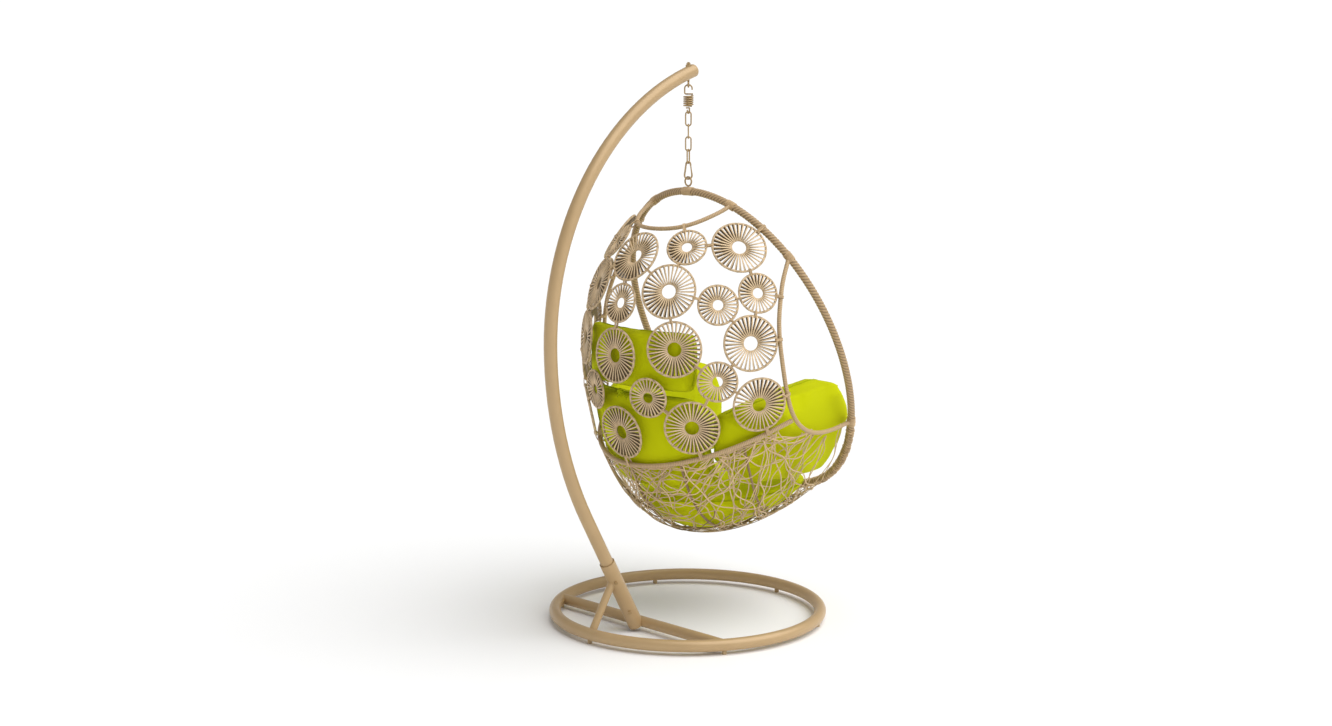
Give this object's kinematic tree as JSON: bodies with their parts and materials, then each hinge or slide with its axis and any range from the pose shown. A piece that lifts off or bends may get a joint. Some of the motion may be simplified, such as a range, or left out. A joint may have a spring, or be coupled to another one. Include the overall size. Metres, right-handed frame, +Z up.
{
  "type": "hanging egg chair",
  "caption": "Hanging egg chair: a wicker disc basket with cushions on a spring, chain and carabiner under a curved arm on a ring base.",
  "frame": {"origin": "on the floor at the centre of the base ring, straight under the hanging axis", "axes": "+X the way the sitter faces, +Y the sitter's left, +Z up"},
  "size_m": [1.2252, 1.002, 1.992],
  "materials": {
    "frame_paint": "satin",
    "hardware": "satin",
    "dark_plastic": "matte",
    "cap_plastic": "matte",
    "core_steel": "matte",
    "rope_wrap": "matte",
    "disc_wicker": "matte",
    "wicker": "matte",
    "cushion_fabric": "matte"
  },
  "bodies": {
    "stand": {"base_ring": "frame_paint", "foot_glides": "dark_plastic", "base_crossbar": "frame_paint", "post_socket": "frame_paint", "socket_brace": "frame_paint", "hanging_arm": "frame_paint", "arm_end_cap": "cap_plastic", "socket_bolts": "hardware", "eye_bolt": "hardware", "eye_bolt_nut": "hardware"},
    "spring_top": {"spring_hook_top": "hardware", "coil_spring": "hardware"},
    "spring_end": {"spring_hook_bottom": "hardware"},
    "link_1": {"chain_link_1": "hardware"},
    "link_2": {"chain_link_2": "hardware"},
    "link_3": {"chain_link_3": "hardware"},
    "link_4": {"chain_link_4": "hardware"},
    "clip": {"carabiner_body": "hardware", "gate_pin": "hardware"},
    "gate": {"carabiner_gate": "hardware"},
    "basket": {"back_cushion_lower": "cushion_fabric", "back_cushion_upper": "cushion_fabric", "belt_bar": "wicker", "bowl_ribs": "core_steel", "bowl_weave": "wicker", "disc_belt_centre": "disc_wicker", "disc_belt_inner_left": "disc_wicker", "disc_belt_inner_right": "disc_wicker", "disc_belt_outer_left": "disc_wicker", "disc_belt_outer_right": "disc_wicker", "disc_low_inner_left": "disc_wicker", "disc_low_inner_right": "disc_wicker", "disc_low_outer_left": "disc_wicker", "disc_low_outer_right": "disc_wicker", "disc_middle_centre": "disc_wicker", "disc_middle_inner_left": "disc_wicker", "disc_middle_inner_right": "disc_wicker", "disc_middle_outer_left": "disc_wicker", "disc_middle_outer_right": "disc_wicker", "disc_top_centre": "disc_wicker", "disc_top_inner_left": "disc_wicker", "disc_top_inner_right": "disc_wicker", "disc_top_outer_left": "disc_wicker", "disc_top_outer_right": "disc_wicker", "disc_upper_centre": "disc_wicker", "disc_upper_inner_left": "disc_wicker", "disc_upper_inner_right": "disc_wicker", "disc_upper_mid_left": "disc_wicker", "disc_upper_mid_right": "disc_wicker", "disc_upper_outer_left": "disc_wicker", "disc_upper_outer_right": "disc_wicker", "hanging_ring": "hardware", "rim_hoop": "core_steel", "rim_wrap": "rope_wrap", "seat_cushion": "cushion_fabric", "side_bar_left": "wicker", "side_bar_right": "wicker", "side_cushion_left": "cushion_fabric", "side_cushion_right": "cushion_fabric", "top_bar": "wicker"}
  },
  "joints": [
    {"name": "swing_fore_aft", "type": "hinge", "parent": "stand", "child": "spring_top", "pos_m": [0, 0, 1.9065], "axis": [0, -1, 0], "range_deg": [-5, 16]},
    {"name": "spring_stretch", "type": "slide", "parent": "spring_top", "child": "spring_end", "axis": [0, 0, -1], "range_m": [0, 0.03], "stiffness_N_per_m": 25000, "springref_m": -0.018, "deforming": ["coil_spring"]},
    {"name": "sway_sideways", "type": "hinge", "parent": "spring_end", "child": "link_1", "pos_m": [0, 0, 1.8145], "axis": [1, 0, 0], "range_deg": [-12, 12]},
    {"name": "link_2_flex", "type": "hinge", "parent": "link_1", "child": "link_2", "pos_m": [0, 0, 1.77095], "axis": [0, 1, 0], "range_deg": [-5, 5]},
    {"name": "link_3_flex", "type": "hinge", "parent": "link_2", "child": "link_3", "pos_m": [0, 0, 1.7273], "axis": [1, 0, 0], "range_deg": [-5, 5]},
    {"name": "link_4_flex", "type": "hinge", "parent": "link_3", "child": "link_4", "pos_m": [0, 0, 1.68365], "axis": [0, -1, 0], "range_deg": [-5, 5]},
    {"name": "clip_flex", "type": "hinge", "parent": "link_4", "child": "clip", "pos_m": [0, 0, 1.64], "axis": [-1, 0, 0], "range_deg": [-5, 5]},
    {"name": "basket_swivel", "type": "hinge", "parent": "clip", "child": "basket", "pos_m": [0, 0, 1.58535], "axis": [0, 0, 1], "range_deg": [-45, 0]},
    {"name": "gate_swing", "type": "hinge", "parent": "clip", "child": "gate", "pos_m": [0.00833, -0.00833, 1.60799], "axis": [-0.7071, -0.7071, 0], "range_deg": [0, 22], "stiffness_Nm_per_rad": 0.05, "springref_deg": -11.46}
  ]
}
